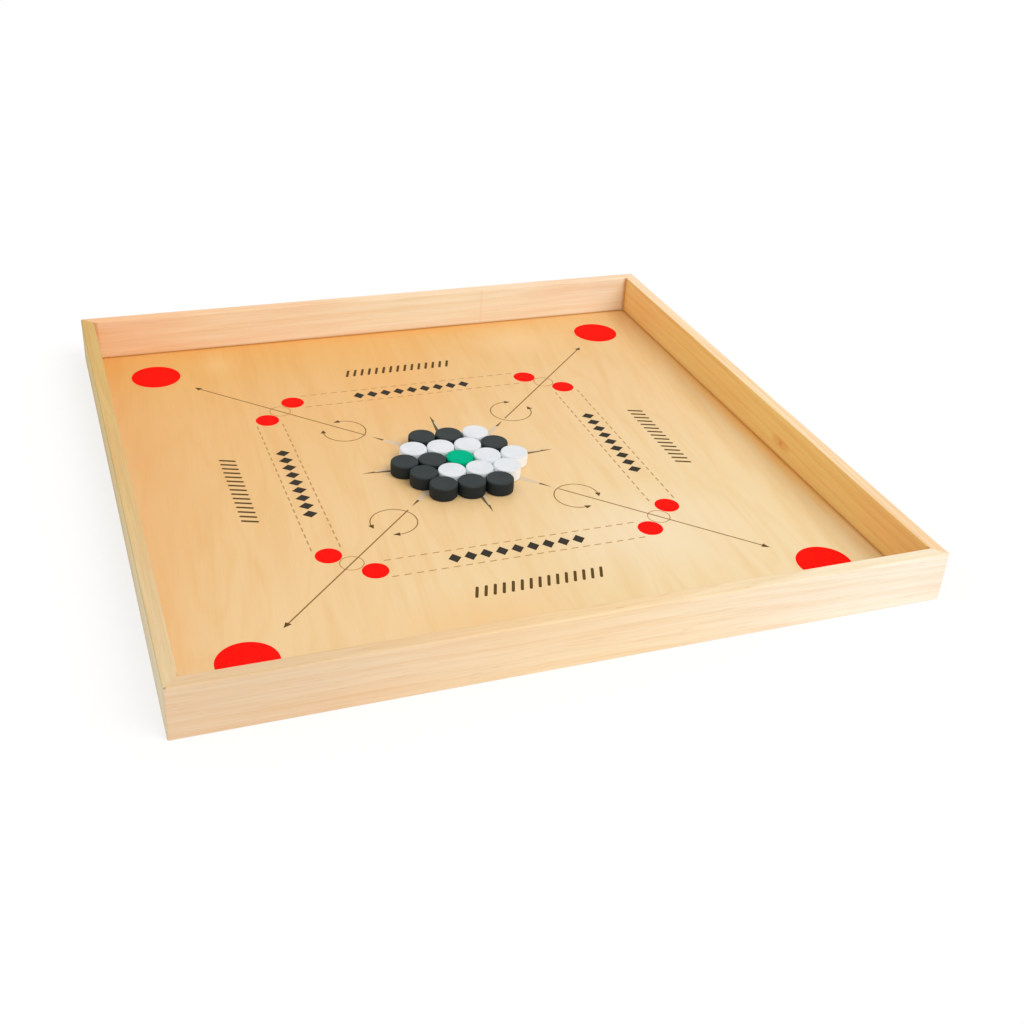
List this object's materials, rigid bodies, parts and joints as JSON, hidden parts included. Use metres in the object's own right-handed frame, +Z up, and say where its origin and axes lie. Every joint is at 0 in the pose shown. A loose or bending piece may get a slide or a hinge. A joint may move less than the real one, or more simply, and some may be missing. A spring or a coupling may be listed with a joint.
{
  "type": "tabletop disc billiard game",
  "caption": "Square wooden tray with a low plywood playing panel, mitred pine rails and loose round playing discs set out as the opening pack.",
  "frame": {"origin": "under the middle of the tray, on the surface it rests on", "axes": "+X along the front rail to the right, +Y to the back rail, +Z up"},
  "size_m": [0.6, 0.6, 0.043],
  "materials": {
    "pine_rail": "planed, thin matt varnish",
    "birch_panel": "varnished plywood with printed markings",
    "disc_white": "moulded, matt",
    "disc_black": "moulded, matt",
    "disc_green": "moulded, matt",
    "brad_steel": "bright drawn wire"
  },
  "bodies": {
    "tray": {"rail_front": "pine_rail", "rail_back": "pine_rail", "rail_left": "pine_rail", "rail_right": "pine_rail", "playing_panel": "birch_panel", "panel_brad_1": "brad_steel", "panel_brad_2": "brad_steel", "panel_brad_3": "brad_steel", "panel_brad_4": "brad_steel", "panel_brad_5": "brad_steel", "panel_brad_6": "brad_steel", "panel_brad_7": "brad_steel", "panel_brad_8": "brad_steel", "panel_brad_9": "brad_steel", "panel_brad_10": "brad_steel", "panel_brad_11": "brad_steel", "panel_brad_12": "brad_steel", "panel_brad_13": "brad_steel", "panel_brad_14": "brad_steel", "panel_brad_15": "brad_steel", "panel_brad_16": "brad_steel", "corner_brad_1": "brad_steel", "corner_brad_2": "brad_steel", "corner_brad_3": "brad_steel", "corner_brad_4": "brad_steel", "corner_brad_5": "brad_steel", "corner_brad_6": "brad_steel", "corner_brad_7": "brad_steel", "corner_brad_8": "brad_steel"},
    "green_disc": {"disc_green": "disc_green"},
    "white_disc_1": {"disc_white_1": "disc_white"},
    "white_disc_2": {"disc_white_2": "disc_white"},
    "white_disc_3": {"disc_white_3": "disc_white"},
    "white_disc_4": {"disc_white_4": "disc_white"},
    "white_disc_5": {"disc_white_5": "disc_white"},
    "white_disc_6": {"disc_white_6": "disc_white"},
    "white_disc_7": {"disc_white_7": "disc_white"},
    "white_disc_8": {"disc_white_8": "disc_white"},
    "white_disc_9": {"disc_white_9": "disc_white"},
    "black_disc_1": {"disc_black_1": "disc_black"},
    "black_disc_2": {"disc_black_2": "disc_black"},
    "black_disc_3": {"disc_black_3": "disc_black"},
    "black_disc_4": {"disc_black_4": "disc_black"},
    "black_disc_5": {"disc_black_5": "disc_black"},
    "black_disc_6": {"disc_black_6": "disc_black"},
    "black_disc_7": {"disc_black_7": "disc_black"},
    "black_disc_8": {"disc_black_8": "disc_black"},
    "black_disc_9": {"disc_black_9": "disc_black"}
  },
  "joints": [
    {"name": "green_lift", "type": "slide", "parent": "tray", "child": "green_disc", "axis": [0, 0, 1], "range_m": [0, 0.045]},
    {"name": "white_lift_1", "type": "slide", "parent": "tray", "child": "white_disc_1", "axis": [0, 0, 1], "range_m": [0, 0.045]},
    {"name": "white_lift_2", "type": "slide", "parent": "tray", "child": "white_disc_2", "axis": [0, 0, 1], "range_m": [0, 0.045]},
    {"name": "white_lift_3", "type": "slide", "parent": "tray", "child": "white_disc_3", "axis": [0, 0, 1], "range_m": [0, 0.045]},
    {"name": "white_lift_4", "type": "slide", "parent": "tray", "child": "white_disc_4", "axis": [0, 0, 1], "range_m": [0, 0.045]},
    {"name": "white_lift_5", "type": "slide", "parent": "tray", "child": "white_disc_5", "axis": [0, 0, 1], "range_m": [0, 0.045]},
    {"name": "white_lift_6", "type": "slide", "parent": "tray", "child": "white_disc_6", "axis": [0, 0, 1], "range_m": [0, 0.045]},
    {"name": "white_lift_7", "type": "slide", "parent": "tray", "child": "white_disc_7", "axis": [0, 0, 1], "range_m": [0, 0.045]},
    {"name": "white_lift_8", "type": "slide", "parent": "tray", "child": "white_disc_8", "axis": [0, 0, 1], "range_m": [0, 0.045]},
    {"name": "white_lift_9", "type": "slide", "parent": "tray", "child": "white_disc_9", "axis": [0, 0, 1], "range_m": [0, 0.045]},
    {"name": "black_lift_1", "type": "slide", "parent": "tray", "child": "black_disc_1", "axis": [0, 0, 1], "range_m": [0, 0.045]},
    {"name": "black_lift_2", "type": "slide", "parent": "tray", "child": "black_disc_2", "axis": [0, 0, 1], "range_m": [0, 0.045]},
    {"name": "black_lift_3", "type": "slide", "parent": "tray", "child": "black_disc_3", "axis": [0, 0, 1], "range_m": [0, 0.045]},
    {"name": "black_lift_4", "type": "slide", "parent": "tray", "child": "black_disc_4", "axis": [0, 0, 1], "range_m": [0, 0.045]},
    {"name": "black_lift_5", "type": "slide", "parent": "tray", "child": "black_disc_5", "axis": [0, 0, 1], "range_m": [0, 0.045]},
    {"name": "black_lift_6", "type": "slide", "parent": "tray", "child": "black_disc_6", "axis": [0, 0, 1], "range_m": [0, 0.045]},
    {"name": "black_lift_7", "type": "slide", "parent": "tray", "child": "black_disc_7", "axis": [0, 0, 1], "range_m": [0, 0.045]},
    {"name": "black_lift_8", "type": "slide", "parent": "tray", "child": "black_disc_8", "axis": [0, 0, 1], "range_m": [0, 0.045]},
    {"name": "black_lift_9", "type": "slide", "parent": "tray", "child": "black_disc_9", "axis": [0, 0, 1], "range_m": [0, 0.045]}
  ]
}
